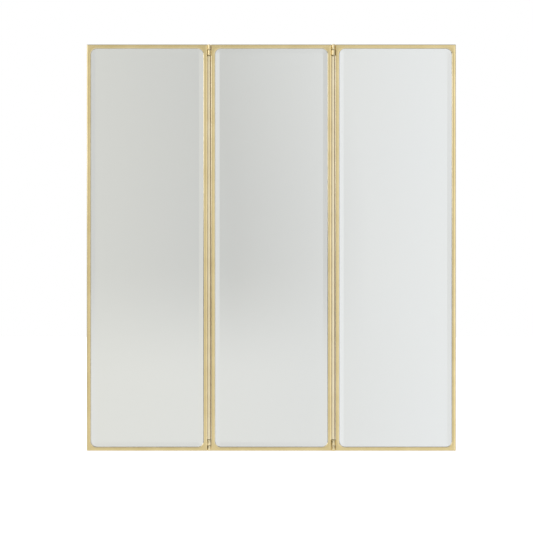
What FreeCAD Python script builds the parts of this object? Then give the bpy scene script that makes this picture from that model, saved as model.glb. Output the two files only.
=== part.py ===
"""Three-leaf folding mirror: bevelled mirror leaves in slim brass frames, joined by lift-off hinges.

Frame: millimetres, +Z up, the mirrors face -Y, and the origin is at the middle of the bottom of the whole
object, halfway between its front and its back. Each leaf is drawn in a frame of its own, with x = 0 on its
middle, y = 0 on the front face of its brass frame and z = 0 at its foot, and is then moved to its place.
"""

import FreeCAD, Part

import os

# ---------------------------------------------------------------- driving dimensions
overall_width = 1090.0
overall_height = 1200.0
frame_depth = 18.0

# brass frame section
face_width = 12.5
sheet = 2.0  # wall of the rails, all over
reveal_depth = 5.0  # how far the inner lip of the face turns back, towards the glass
sight_radius = 17.0  # inner corners of the face
outer_edge_radius = 2.8
inner_edge_radius = 2.8
outer_corner_radius = 1.5

# solid corner blocks
corner_leg = 46.0
corner_wall = 5.0
corner_fill_clearance = 0.9  # from the metal behind each corner to the glass
board_screw_head_clearance = 1.2  # from the corner's wall to the board screw's head

# mirror glass
glass_thickness = 4.0
glass_overlap = 5.0  # how far the glass reaches behind the face
bevel_width = 18.0
bevel_drop = 2.0
tape_thickness = 0.8  # soft tape between lip and glass

# back of each leaf
foam_thickness = 1.0
foam_inset = 0.5
board_thickness = 3.0
board_inset = 6.0
board_hole_clearance = 0.2
tab_width = 12.0
tab_thickness = 1.0
tab_reach = 8.0  # over the board
tab_foot = 6.0  # along the rail's wall
tab_share_of_height = (0.25, 0.5, 0.75)
pad_size = (4.0, 14.0, 1.5)  # across the wall, along the stile, thickness
pad_from_end = 10.0

# hinges
barrel_radius = 4.3
barrel_clearance = 0.7  # barrel to the leaves beside it
knuckle_length = 15.6
knuckle_cap = 2.0  # closed end of each knuckle
knuckle_chamfer = 0.5
washer_thickness = 0.8
washer_radius = 4.0
washer_clearance = 0.1
pin_radius = 2.0
pin_running_clearance = 0.05
pin_end_clearance = 0.4
hinge_from_end = 0.5  # barrel ends to the leaf's ends
plate_thickness = 2.4
plate_depth = 14.0  # how far back the hinge plates reach
plate_start = 2.5  # behind the rounded front edge
arm_thickness = 2.8  # of the cranked arm of the right hinges
arm_overlap = 1.0  # how far the arm goes into its plate
left_axis_forward = 1.5  # pin axis in front of the faces
fold_clearance = 2.0  # between the folded left leaf and the right leaf over it
strip_end_clearance = 2.0  # hinge barrels to the strip's web and front flange

# gap strips
strip_slit = 2.8  # narrow groove beside the front of the strip
strip_clearance = 0.5  # back of the strip to the next leaf
strip_set_back = 1.0
strip_thickness = 1.2
strip_hinge_clearance = 0.5  # back of the hinge plates to the strip's back flange
strip_end_inset = 0.5  # ends of the leaf to the ends of the back flange
rivet_radius = 1.25
rivet_head_radius = 2.2
rivet_head = 0.7
rivet_share_of_height = (0.08, 0.36, 0.64, 0.92)

# screws: shank radius, head radius, head height
plate_screw = (1.5, 2.8, 1.5)
plate_screw_length = 6.5
plate_screw_spread = 4.2
plate_screw_set_back = 8.5
board_screw = (1.5, 2.8, 1.8)
board_screw_bite = 5.0  # into the corner block
wood_screw = (1.2, 2.3, 1.3)
wood_screw_bite = 2.3  # into the board
slot_width = 0.8
slot_depth = 0.7

# wall hangers, on the top corners of the middle leaf
hanger_thickness = 1.5
hanger_leg = 41.5
hanger_nose = 9.5
hanger_clearance = 0.5  # to the corner block's walls
keyhole_across = 21.0  # entry hole, from the leaf's side
keyhole_down = 27.0  # entry hole, from the leaf's top
keyhole_radius = 5.0
keyhole_slot_radius = 2.5
keyhole_rise = 9.0
keyhole_room = 2.0  # wider hole in board and foam, all round

# ---------------------------------------------------------------- places worked out from them
leaf_gap = 2 * (barrel_radius + barrel_clearance)
leaf_width = (overall_width - 2 * leaf_gap) / 3
leaf_pitch = leaf_width + leaf_gap
half_leaf = leaf_width / 2
half_gap = leaf_gap / 2
arm_far = half_gap - plate_thickness + arm_overlap
arm_near = arm_far - arm_thickness
glass_inset = face_width - glass_overlap
glass_radius = sight_radius + glass_overlap
corner_fill = glass_inset + glass_radius * (1 - 0.5 ** 0.5) - corner_fill_clearance
board_screw_inset = corner_wall + board_screw[1] + board_screw_head_clearance
drop_at_lip = bevel_drop * (1 - glass_overlap / bevel_width)
glass_front = reveal_depth + tape_thickness - drop_at_lip
glass_back = glass_front + glass_thickness
board_front = glass_back + foam_thickness
board_back = board_front + board_thickness
right_axis_forward = left_axis_forward + (frame_depth + fold_clearance) / 2
barrel_length = 2 * knuckle_length + washer_thickness
front_reach = right_axis_forward + barrel_radius
back_reach = frame_depth + pad_size[2]
face_y = (front_reach - back_reach) / 2
strip_from_end = hinge_from_end + barrel_length + strip_end_clearance
strip_leg = plate_depth + strip_hinge_clearance + strip_thickness - strip_set_back
hanger_inset = corner_wall + hanger_clearance

LEFT, MIDDLE, RIGHT = "left", "centre", "right"
leaf_x = {LEFT: -leaf_pitch, MIDDLE: 0.0, RIGHT: leaf_pitch}
hinge_sides = {LEFT: (1,), MIDDLE: (-1, 1), RIGHT: (-1,)}  # the sides of each leaf that carry hinges
strip_sides = {LEFT: 1, MIDDLE: 1}  # the side of a leaf that carries a gap strip


# ---------------------------------------------------------------- small tools
def vec(x, y, z):
    return FreeCAD.Vector(x, y, z)


def block(x, y, z):
    """A box from three (low, high) pairs."""
    low = [min(pair) for pair in (x, y, z)]
    size = [abs(pair[1] - pair[0]) for pair in (x, y, z)]
    return Part.makeBox(*size, vec(*low))


def rod(radius, start, axis, length):
    return Part.makeCylinder(radius, length, vec(*start), vec(*axis))


def rounded_wire(width, low, high, radius, y):
    """Rounded rectangle in a plane of constant y: width about x = 0, from z = low to z = high."""
    x, k = width / 2, radius * (1 - 0.5 ** 0.5)
    start = [vec(-x, y, low + radius), vec(-x + radius, y, high),
             vec(x, y, high - radius), vec(x - radius, y, low)]
    end = [vec(-x, y, high - radius), vec(x - radius, y, high),
           vec(x, y, low + radius), vec(-x + radius, y, low)]
    middle = [vec(-x + k, y, high - k), vec(x - k, y, high - k),
              vec(x - k, y, low + k), vec(-x + k, y, low + k)]
    edges = []
    for i in range(4):
        edges.append(Part.LineSegment(start[i], end[i]).toShape())
        edges.append(Part.Arc(end[i], middle[i], start[(i + 1) % 4]).toShape())
    return Part.Wire(edges)


def slab(inset, radius, front, back):
    """Rounded plate as large as a leaf, less inset all round, between two depths."""
    wire = rounded_wire(leaf_width - 2 * inset, inset, overall_height - inset, radius, front)
    return Part.Face(wire).extrude(vec(0, back - front, 0))


def from_corner(side, top, across, along):
    """Leaf coordinates (x, z) of a point given from a corner: across from its side, along from its end."""
    return side * (half_leaf - across), overall_height - along if top else along


def corner_block(side, top, across, along, depth):
    """A box given from a corner of a leaf by three (low, high) pairs."""
    x0, z0 = from_corner(side, top, across[0], along[0])
    x1, z1 = from_corner(side, top, across[1], along[1])
    return block((x0, x1), depth, (z0, z1))


def corners():
    return [(side, top) for side in (-1, 1) for top in (False, True)]


def pan_screw(sizes, grip, at, axis):
    """Pan-head screw: its seat is at the point, its shank runs along the axis, its head against it."""
    shank_radius, head_radius, head = sizes
    back = vec(*axis) * -head
    seat = vec(*at)
    shape = Part.makeCylinder(shank_radius, grip, seat, vec(*axis))
    dome = Part.makeCylinder(head_radius, head, seat + back, vec(*axis))
    shape = shape.fuse(dome.makeChamfer(0.4 * head, [e for e in dome.Edges if outer_circle(e, seat + back)]))
    cut = block((-head_radius, head_radius), (-slot_width / 2, slot_width / 2), (0, slot_depth))
    return shape.cut(placed_along(cut, seat + back, axis)).removeSplitter()


def outer_circle(edge, centre):
    curve = edge.Curve
    return isinstance(curve, Part.Circle) and curve.Center.distanceToPoint(centre) < 1e-6


def placed_along(shape, at, axis):
    """The shape moved so that its own +Z runs along the axis, from the point."""
    shape.Placement = FreeCAD.Placement(at, FreeCAD.Rotation(vec(0, 0, 1), vec(*axis)))
    return shape


def countersunk_screw(sizes, length, at, axis):
    """Countersunk screw: the flat of its head is at the point, and it runs along the axis."""
    shank_radius, head_radius, head = sizes
    cone = Part.makeCone(head_radius, shank_radius, head, vec(*at), vec(*axis))
    shank = Part.makeCylinder(shank_radius, length, vec(*at), vec(*axis))
    cut = block((-head_radius, head_radius), (-slot_width / 2, slot_width / 2), (0, slot_depth))
    return cone.fuse(shank).cut(placed_along(cut, vec(*at), axis)).removeSplitter()


# ---------------------------------------------------------------- brass frame of a leaf
def solid_ring():
    """The whole frame as if it were solid, with its rounded front edges."""
    outline = slab(0, outer_corner_radius, 0, frame_depth)
    sight = slab(face_width, sight_radius, -1, frame_depth + 1)
    ring = outline.cut(sight)
    front = [e for e in ring.Edges if all(abs(v.Y) < 1e-6 for v in e.Vertexes)]
    outer = [e for e in front if not in_sight(e)]
    inner = [e for e in front if in_sight(e)]
    inner = same_edges(ring, outer, inner)
    return ring.makeFillet(outer_edge_radius, outer).makeFillet(inner_edge_radius, inner)


def in_sight(edge):
    box = edge.BoundBox
    reach = half_leaf - face_width + 1e-3
    return box.XMin > -reach and box.XMax < reach and box.ZMin > face_width - 1e-3


def same_edges(ring, outer, inner):
    """The inner front edges again, as the ring's filleted copy holds them."""
    filleted = ring.makeFillet(outer_edge_radius, outer)
    return [e for e in filleted.Edges if in_sight(e) and all(abs(v.Y) < 1e-6 for v in e.Vertexes)]


def frame_ring():
    """The filleted solid ring, and the same ring hollowed to its sheet thickness."""
    ring = solid_ring()
    lip = slab(face_width - sheet, sight_radius + sheet, -1, reveal_depth)
    hollow = slab(sheet, outer_corner_radius, sheet, frame_depth + 1).cut(lip)
    return ring, ring.cut(hollow)


def hinge_screw_points(top, wing):
    """Heights of a hinge plate's two screws."""
    middle = sum(knuckle_span(top, wing)) / 2
    return [middle - plate_screw_spread, middle + plate_screw_spread]


def knuckle_span(top, wing):
    """Low and high ends of a knuckle: the outer leaves hold the upper one, the middle leaf the lower one."""
    foot = overall_height - hinge_from_end - barrel_length if top else hinge_from_end
    low = foot + knuckle_length + washer_thickness if wing else foot
    return low, low + knuckle_length


def corner_pieces(leaf, ring, hollow_ring):
    pieces = []
    for side, top in corners():
        whole = (-1, corner_leg)
        piece = hollow_ring.common(corner_block(side, top, whole, whole, (-1, frame_depth + 1)))
        wall_up = corner_block(side, top, (0, corner_wall), (0, corner_leg), (0, frame_depth))
        wall_across = corner_block(side, top, (0, corner_leg), (0, corner_wall), (0, frame_depth))
        fill = corner_block(side, top, (0, corner_fill), (0, corner_fill), (0, board_front))
        piece = piece.fuse(ring.common(wall_up.fuse(wall_across).fuse(fill)))
        x, z = from_corner(side, top, board_screw_inset, board_screw_inset)
        bite = (x, board_front - board_screw_bite, z)
        piece = piece.cut(rod(board_screw[0], bite, (0, 1, 0), board_screw_bite))
        if side in hinge_sides[leaf]:
            for height in hinge_screw_points(top, leaf != MIDDLE):
                at = (side * (half_leaf + plate_thickness), plate_screw_set_back, height)
                piece = piece.cut(rod(plate_screw[0], at, (-side, 0, 0), plate_screw_length))
        pieces.append(piece.removeSplitter())
    return Part.makeCompound(pieces)


def rail(hollow_ring, top):
    reach = half_leaf - corner_leg
    z = (overall_height - corner_leg, overall_height + 1) if top else (-1, corner_leg)
    return hollow_ring.common(block((-reach, reach), (-1, frame_depth + 1), z))


def stile(leaf, hollow_ring, side):
    x = (side * (half_leaf - corner_leg), side * (half_leaf + 1))
    piece = hollow_ring.common(block(x, (-1, frame_depth + 1), (corner_leg, overall_height - corner_leg)))
    if strip_sides.get(leaf) == side:
        for at in rivet_points(side):
            piece = piece.cut(rod(rivet_radius, at, (-side, 0, 0), 2 * sheet + strip_thickness))
    return piece


# ---------------------------------------------------------------- glass, tape, foam, board and what holds them
def mirror_glass():
    """Plate with a flat bevel all round: a slab as thick as the edge, and a ruled crown up to the front."""
    edge = slab(glass_inset, glass_radius, glass_front + bevel_drop, glass_back)
    inset = glass_inset + bevel_width
    low = rounded_wire(leaf_width - 2 * glass_inset, glass_inset, overall_height - glass_inset, glass_radius,
                       glass_front + bevel_drop)
    high = rounded_wire(leaf_width - 2 * inset, inset, overall_height - inset,
                        glass_radius - bevel_width, glass_front)
    return edge.fuse(Part.makeLoft([low, high], True, True)).removeSplitter()


def glazing_tape():
    outside = slab(face_width - sheet, sight_radius + sheet, reveal_depth, reveal_depth + tape_thickness)
    return outside.cut(slab(face_width, sight_radius, reveal_depth - 1, reveal_depth + tape_thickness + 1))


def keyhole(side, radius, slot_radius, depth):
    """Keyhole cutter: a round entry, and a narrower slot that rises from it."""
    x, z = from_corner(side, True, keyhole_across, keyhole_down)
    entry = rod(radius, (x, depth[0], z), (0, 1, 0), depth[1] - depth[0])
    end = rod(slot_radius, (x, depth[0], z + keyhole_rise), (0, 1, 0), depth[1] - depth[0])
    slot = block((x - slot_radius, x + slot_radius), depth, (z, z + keyhole_rise))
    return entry.fuse(end).fuse(slot)


def screw_head_room(piece, depth):
    for side in (-1, 1):
        wide = keyhole_radius + keyhole_room
        piece = piece.cut(keyhole(side, wide, wide, depth))
    return piece


def foam_sheet(leaf):
    sheet_of_foam = slab(glass_inset + foam_inset, glass_radius - foam_inset, glass_back, board_front)
    if leaf == MIDDLE:
        sheet_of_foam = screw_head_room(sheet_of_foam, (glass_back - 1, board_front + 1))
    return sheet_of_foam


def backing_board(leaf):
    width = leaf_width - 2 * board_inset
    height = (board_inset, overall_height - board_inset)
    board = block((-width / 2, width / 2), (board_front, board_back), height)
    for side, top in corners():
        x, z = from_corner(side, top, board_screw_inset, board_screw_inset)
        hole_radius = board_screw[0] + board_hole_clearance
        hole = rod(hole_radius, (x, board_front, z), (0, 1, 0), board_thickness)
        board = board.cut(hole)
    if leaf == MIDDLE:
        board = screw_head_room(board, (board_front - 1, board_back + 1))
        for x, z in wood_screw_points():
            bite = (x, board_back - wood_screw_bite, z)
            board = board.cut(rod(wood_screw[0], bite, (0, 1, 0), wood_screw_bite))
    return board


def board_tabs():
    """Bent tabs: one leg lies on the inside of a rail's wall, the other over the edge of the board."""
    tabs = []
    foot = (board_back - tab_foot, board_back + tab_thickness)
    over = (board_back, board_back + tab_thickness)
    reach = board_inset + tab_reach
    for side in (-1, 1):
        for share in tab_share_of_height:
            z = share * overall_height
            span = (z - tab_width / 2, z + tab_width / 2)
            leg = block((side * (half_leaf - sheet), side * (half_leaf - sheet - tab_thickness)), foot, span)
            tabs.append(leg.fuse(block((side * (half_leaf - sheet), side * (half_leaf - reach)), over, span)))
    for top in (False, True):
        z = [overall_height - value if top else value for value in (sheet, sheet + tab_thickness, reach)]
        leg = block((-tab_width / 2, tab_width / 2), foot, (z[0], z[1]))
        tabs.append(leg.fuse(block((-tab_width / 2, tab_width / 2), over, (z[0], z[2]))))
    return Part.makeCompound([tab.removeSplitter() for tab in tabs])


def board_screws(leaf):
    screws = []
    for side, top in corners():
        seat = board_back + hanger_thickness if leaf == MIDDLE and top else board_back
        x, z = from_corner(side, top, board_screw_inset, board_screw_inset)
        grip = seat - board_front + board_screw_bite
        screws.append(pan_screw(board_screw, grip, (x, seat, z), (0, -1, 0)))
    return Part.makeCompound(screws)


def rear_pads():
    """Soft pads on the back of the corner blocks, towards the wall."""
    across, along, thickness = pad_size
    start = (corner_wall - across) / 2
    pads = [corner_block(side, top, (start, start + across), (pad_from_end, pad_from_end + along),
                         (frame_depth, frame_depth + thickness)) for side, top in corners()]
    return Part.makeCompound(pads)


# ---------------------------------------------------------------- gap strips
def rivet_points(side):
    """Outer end of each rivet, on the strip's leg in the gap."""
    depth = strip_set_back + (strip_thickness + strip_leg) / 2
    x = side * (half_leaf + strip_thickness)
    return [(x, depth, share * overall_height) for share in rivet_share_of_height]


def gap_strip(side):
    """Channel strip that closes the gap: a web on the stile's wall, a front flange and a wider back flange.

    The web and the front flange stop at the hinges. The back flange passes behind their plates.
    """
    height = (strip_from_end, overall_height - strip_from_end)
    front, back = strip_set_back, strip_set_back + strip_leg
    strip = block((side * half_leaf, side * (half_leaf + strip_thickness)), (front, back), height)
    across_front = (side * half_leaf, side * (half_leaf + leaf_gap - strip_slit))
    strip = strip.fuse(block(across_front, (front, front + strip_thickness), height))
    across_back = (side * half_leaf, side * (half_leaf + leaf_gap - strip_clearance))
    full_height = (strip_end_inset, overall_height - strip_end_inset)
    strip = strip.fuse(block(across_back, (back - strip_thickness, back), full_height))
    strip = strip.removeSplitter()
    for at in rivet_points(side):
        strip = strip.cut(rod(rivet_radius, at, (-side, 0, 0), strip_thickness))
    return strip


def strip_rivets(side):
    rivets = []
    for x, y, z in rivet_points(side):
        shank = rod(rivet_radius, (x, y, z), (-side, 0, 0), strip_thickness + sheet)
        outer = rod(rivet_head_radius, (x, y, z), (side, 0, 0), rivet_head)
        inside = x - side * (strip_thickness + sheet)
        inner = rod(rivet_head_radius, (inside, y, z), (-side, 0, 0), rivet_head)
        rivets.append(shank.fuse(outer).fuse(inner).removeSplitter())
    return Part.makeCompound(rivets)


# ---------------------------------------------------------------- hinges
def axis_forward(joint):
    return left_axis_forward if joint < 0 else right_axis_forward


def knuckle_plate(joint, top, wing):
    """One half of a hinge: knuckle, arm and plate. x is 0 on the pin's axis, y and z are as on a leaf."""
    low, high = knuckle_span(top, wing)
    forward = axis_forward(joint)
    side = joint if wing else -joint  # the leaf that it is screwed to, seen from the pin
    barrel = rod(barrel_radius, (0, -forward, low), (0, 0, 1), knuckle_length)
    ends = [e for e in barrel.Edges if isinstance(e.Curve, Part.Circle)]
    barrel = barrel.makeChamfer(knuckle_chamfer, ends)
    plate_x = (side * (half_gap - plate_thickness), side * half_gap)
    if joint < 0:
        half = barrel.fuse(block(plate_x, (-forward, plate_depth), (low, high)))
    else:
        arm = block((side * arm_near, side * arm_far), (-forward, plate_start + sheet), (low, high))
        half = barrel.fuse(arm).fuse(block(plate_x, (plate_start, plate_depth), (low, high)))
    bore_radius = pin_radius + (pin_running_clearance if wing else 0)
    bore_start = low if wing else low + knuckle_cap
    half = half.cut(rod(bore_radius, (0, -forward, bore_start), (0, 0, 1), knuckle_length - knuckle_cap))
    for height in hinge_screw_points(top, wing):
        at = (side * (half_gap - plate_thickness), plate_screw_set_back, height)
        shank_radius, head_radius, head = plate_screw
        half = half.cut(Part.makeCone(head_radius, shank_radius, head, vec(*at), vec(side, 0, 0)))
        half = half.cut(rod(shank_radius, at, (side, 0, 0), plate_thickness))
    return half.removeSplitter()


def plate_screws(leaf):
    """The screws of all the hinge plates on one leaf."""
    screws = []
    for side in hinge_sides[leaf]:
        for top in (False, True):
            for height in hinge_screw_points(top, leaf != MIDDLE):
                at = (side * (half_leaf + plate_thickness), plate_screw_set_back, height)
                screws.append(countersunk_screw(plate_screw, plate_screw_length, at, (-side, 0, 0)))
    return Part.makeCompound(screws)


def hinge_pin(joint, top):
    low = knuckle_span(top, False)[0] + knuckle_cap
    length = 2 * (knuckle_length - knuckle_cap) + washer_thickness - pin_end_clearance
    return rod(pin_radius, (0, -axis_forward(joint), low), (0, 0, 1), length)


def hinge_washers():
    """All four washers, each on a lower knuckle."""
    washers = []
    for joint in (-1, 1):
        for top in (False, True):
            start = (joint * leaf_pitch / 2, -axis_forward(joint), knuckle_span(top, False)[1])
            ring = rod(washer_radius, start, (0, 0, 1), washer_thickness)
            washers.append(ring.cut(rod(pin_radius + washer_clearance, start, (0, 0, 1), washer_thickness)))
    return Part.makeCompound(washers)


# ---------------------------------------------------------------- wall hangers
def wood_screw_points():
    """Leaf (x, z) of the short screws that hold the ends of the hangers' legs."""
    far = hanger_inset + hanger_leg - hanger_nose / 2
    near = hanger_inset + hanger_nose / 2
    return [from_corner(side, True, *pair) for side in (-1, 1) for pair in ((far, near), (near, far))]


def wall_hanger(side):
    """Corner plate with a keyhole, on the back of the board."""
    a, b, c = hanger_inset, hanger_inset + hanger_leg, hanger_inset + hanger_nose
    outline = [from_corner(side, True, *pair) for pair in ((a, a), (b, a), (b, c), (c, b), (a, b), (a, a))]
    wire = Part.makePolygon([vec(x, board_back, z) for x, z in outline])
    plate = Part.Face(wire).extrude(vec(0, hanger_thickness, 0))
    through = (board_back - 1, board_back + hanger_thickness + 1)
    plate = plate.cut(keyhole(side, keyhole_radius, keyhole_slot_radius, through))
    x, z = from_corner(side, True, board_screw_inset, board_screw_inset)
    plate = plate.cut(rod(board_screw[0] + board_hole_clearance, (x, through[0], z), (0, 1, 0), 9))
    for x, z in wood_screw_points():
        if x * side > 0:
            plate = plate.cut(rod(wood_screw[0] + board_hole_clearance, (x, through[0], z), (0, 1, 0), 9))
    return plate


def hanger_screws():
    seat = board_back + hanger_thickness
    grip = hanger_thickness + wood_screw_bite
    points = wood_screw_points()
    return Part.makeCompound([pan_screw(wood_screw, grip, (x, seat, z), (0, -1, 0)) for x, z in points])


# ---------------------------------------------------------------- assembly
def make_nodes():
    nodes = {}

    def add(name, shape, x):
        shape = shape.copy()
        shape.translate(vec(x, face_y, 0))
        nodes[name] = shape

    ring, hollow_ring = frame_ring()
    glass, tape, tabs, pads = mirror_glass(), glazing_tape(), board_tabs(), rear_pads()
    for leaf, x in leaf_x.items():
        add(leaf + "_top_rail", rail(hollow_ring, True), x)
        add(leaf + "_bottom_rail", rail(hollow_ring, False), x)
        add(leaf + "_left_stile", stile(leaf, hollow_ring, -1), x)
        add(leaf + "_right_stile", stile(leaf, hollow_ring, 1), x)
        add(leaf + "_corner_blocks", corner_pieces(leaf, ring, hollow_ring), x)
        add(leaf + "_mirror", glass, x)
        add(leaf + "_glazing_tape", tape, x)
        add(leaf + "_foam_sheet", foam_sheet(leaf), x)
        add(leaf + "_backing_board", backing_board(leaf), x)
        add(leaf + "_board_tabs", tabs, x)
        add(leaf + "_board_screws", board_screws(leaf), x)
        add(leaf + "_rear_pads", pads, x)
        add(leaf + "_hinge_screws", plate_screws(leaf), x)
        if leaf in strip_sides:
            add(leaf + "_gap_strip", gap_strip(strip_sides[leaf]), x)
            add(leaf + "_strip_rivets", strip_rivets(strip_sides[leaf]), x)

    for joint, name in ((-1, LEFT), (1, RIGHT)):
        x = joint * leaf_pitch / 2
        for top, place in ((True, "top"), (False, "bottom")):
            add(name + "_" + place + "_hinge_upper_half", knuckle_plate(joint, top, True), x)
            add(name + "_" + place + "_hinge_lower_half", knuckle_plate(joint, top, False), x)
            add(name + "_" + place + "_hinge_pin", hinge_pin(joint, top), x)

    add("hinge_washers", hinge_washers(), 0)
    add("left_wall_hanger", wall_hanger(-1), 0)
    add("right_wall_hanger", wall_hanger(1), 0)
    add("hanger_screws", hanger_screws(), 0)
    return nodes


os.makedirs("parts", exist_ok=True)
for stale in os.listdir("parts"):
    os.remove(os.path.join("parts", stale))
model = make_nodes()
for node_name, node_shape in model.items():
    node_shape.exportStep(os.path.join("parts", node_name + ".step"))
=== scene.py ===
"""Looks of the three-leaf folding mirror: satin brass frames, bevelled silvered glass, small barrel hinges.

Shapes are worked out in millimetres in a leaf's own frame: x from its middle, y back from its brass face and
z up from its foot. They go into the meshes in metres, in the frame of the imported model.
"""

import bmesh
import bpy
import numpy as np
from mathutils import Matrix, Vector


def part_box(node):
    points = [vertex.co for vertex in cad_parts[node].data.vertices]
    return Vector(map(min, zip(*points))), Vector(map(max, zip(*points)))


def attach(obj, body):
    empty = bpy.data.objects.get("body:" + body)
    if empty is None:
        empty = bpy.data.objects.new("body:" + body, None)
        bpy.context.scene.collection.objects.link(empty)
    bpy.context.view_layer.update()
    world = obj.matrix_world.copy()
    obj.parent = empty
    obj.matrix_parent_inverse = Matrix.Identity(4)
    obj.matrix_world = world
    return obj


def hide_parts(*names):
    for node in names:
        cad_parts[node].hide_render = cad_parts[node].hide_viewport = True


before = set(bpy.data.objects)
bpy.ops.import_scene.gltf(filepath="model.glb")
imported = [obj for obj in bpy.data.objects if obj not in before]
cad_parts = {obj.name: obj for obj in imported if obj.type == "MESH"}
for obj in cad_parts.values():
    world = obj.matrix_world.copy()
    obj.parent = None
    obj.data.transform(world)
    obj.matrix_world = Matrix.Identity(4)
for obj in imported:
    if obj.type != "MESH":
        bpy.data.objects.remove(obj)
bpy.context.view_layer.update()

MM = 0.001
MERGE = 1e-6  # metres
NEAR_AXIS = 0.01  # radius of the tiny hole at the pole of a turned shape

# ---------------------------------------------------------------- sizes, read or repeated from the model
rail_low, rail_high = (np.array(corner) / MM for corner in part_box("centre_top_rail"))
leaf_low, leaf_high = (np.array(corner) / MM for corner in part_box("centre_corner_blocks"))
FACE_Y = rail_low[1]
HEIGHT = leaf_high[2]
HALF_LEAF = (leaf_high[0] - leaf_low[0]) / 2
FACE_WIDTH = rail_high[2] - rail_low[2]
DEPTH = rail_high[1] - rail_low[1]
CORNER_LEG = HALF_LEAF - rail_high[0]
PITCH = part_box("right_top_rail")[0][0] / MM - rail_low[0]
HALF_GAP = PITCH / 2 - HALF_LEAF
SHEET = 2.0
CORNER_WALL = 5.0
REVEAL = 5.0
SIGHT_RADIUS = 17.0
INNER_EDGE, OUTER_EDGE, OUTER_CORNER, SMALLEST_CORNER = 2.8, 2.8, 1.5, 0.02
BACK_EDGE = 0.35
CROWN = 0.35
JOINT_GROOVE = 0.25

LEAVES = {"left": -PITCH, "centre": 0.0, "right": PITCH}
BODY = {"left": "left_wing", "centre": "centre", "right": "right_wing"}
HINGE_SIDES = {"left": (1,), "centre": (-1, 1), "right": (-1,)}
STRIP_SIDE = {"left": 1, "centre": 1}


# ---------------------------------------------------------------- meshes
def grid(rows, columns, start=0):
    """Quads between rows of points that each close on themselves."""
    i, j = np.arange(rows - 1)[:, None], np.arange(columns)[None, :]
    this_row, right = i * columns, (j + 1) % columns
    next_row = this_row + columns
    quads = np.stack([this_row + j, this_row + right, next_row + right, next_row + j], -1)
    return (quads.reshape(-1, 4) + start).tolist()


def tube(loops):
    """Closed shell through an array of loops (rows, points, 3), with flat caps on the first and the last."""
    rows, columns = loops.shape[:2]
    caps = [list(range(columns))[::-1], list(range((rows - 1) * columns, rows * columns))]
    return loops.reshape(-1, 3), grid(rows, columns) + caps


def patch(rows, columns):
    """Quads of an open sheet of points."""
    i, j = np.arange(rows - 1)[:, None], np.arange(columns - 1)[None, :]
    first = i * columns + j
    return np.stack([first, first + 1, first + columns + 1, first + columns], -1).reshape(-1, 4).tolist()


def join(shells):
    """Several shells (points, faces) as one."""
    points, faces, start = [], [], 0
    for shell_points, shell_faces in shells:
        faces += [[index + start for index in face] for face in shell_faces]
        points.append(shell_points)
        start += len(shell_points)
    return np.concatenate(points), faces


def piece(name, leaf, nodes, shell, finish, grain=None, edge=None, crease=32, picks=None, offset=None):
    """Puts a shell into a mesh, merges its doubles, turns its faces outward and hangs it on its body.

    grain and edge are values per point for the materials, and picks is a material per face. offset is the x
    of the shell's own frame where that isn't the leaf's middle.
    """
    points, faces = shell
    shift = np.array([LEAVES[leaf] if offset is None else offset, FACE_Y, 0.0])
    mesh = bpy.data.meshes.new(name)
    mesh.from_pydata(((points + shift) * MM).tolist(), [], faces)
    for key, values, kind in (("grain", grain, "FLOAT_VECTOR"), ("edge", edge, "FLOAT")):
        if values is not None:
            layer = mesh.attributes.new(key, kind, "POINT")
            field = "vector" if kind == "FLOAT_VECTOR" else "value"
            layer.data.foreach_set(field, np.asarray(values, float).ravel())
    for material in finish if isinstance(finish, (list, tuple)) else [finish]:
        mesh.materials.append(material)
    if picks is not None:
        mesh.polygons.foreach_set("material_index", picks)
    tidy = bmesh.new()
    tidy.from_mesh(mesh)
    bmesh.ops.remove_doubles(tidy, verts=tidy.verts, dist=MERGE)
    bmesh.ops.dissolve_degenerate(tidy, edges=tidy.edges, dist=MERGE)
    bmesh.ops.recalc_face_normals(tidy, faces=tidy.faces)
    tidy.to_mesh(mesh)
    tidy.free()
    mesh.shade_smooth()
    mesh.set_sharp_from_angle(angle=np.radians(crease))
    thing = bpy.data.objects.new(name, mesh)
    bpy.context.collection.objects.link(thing)
    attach(thing, BODY[leaf])
    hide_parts(*nodes)


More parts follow.
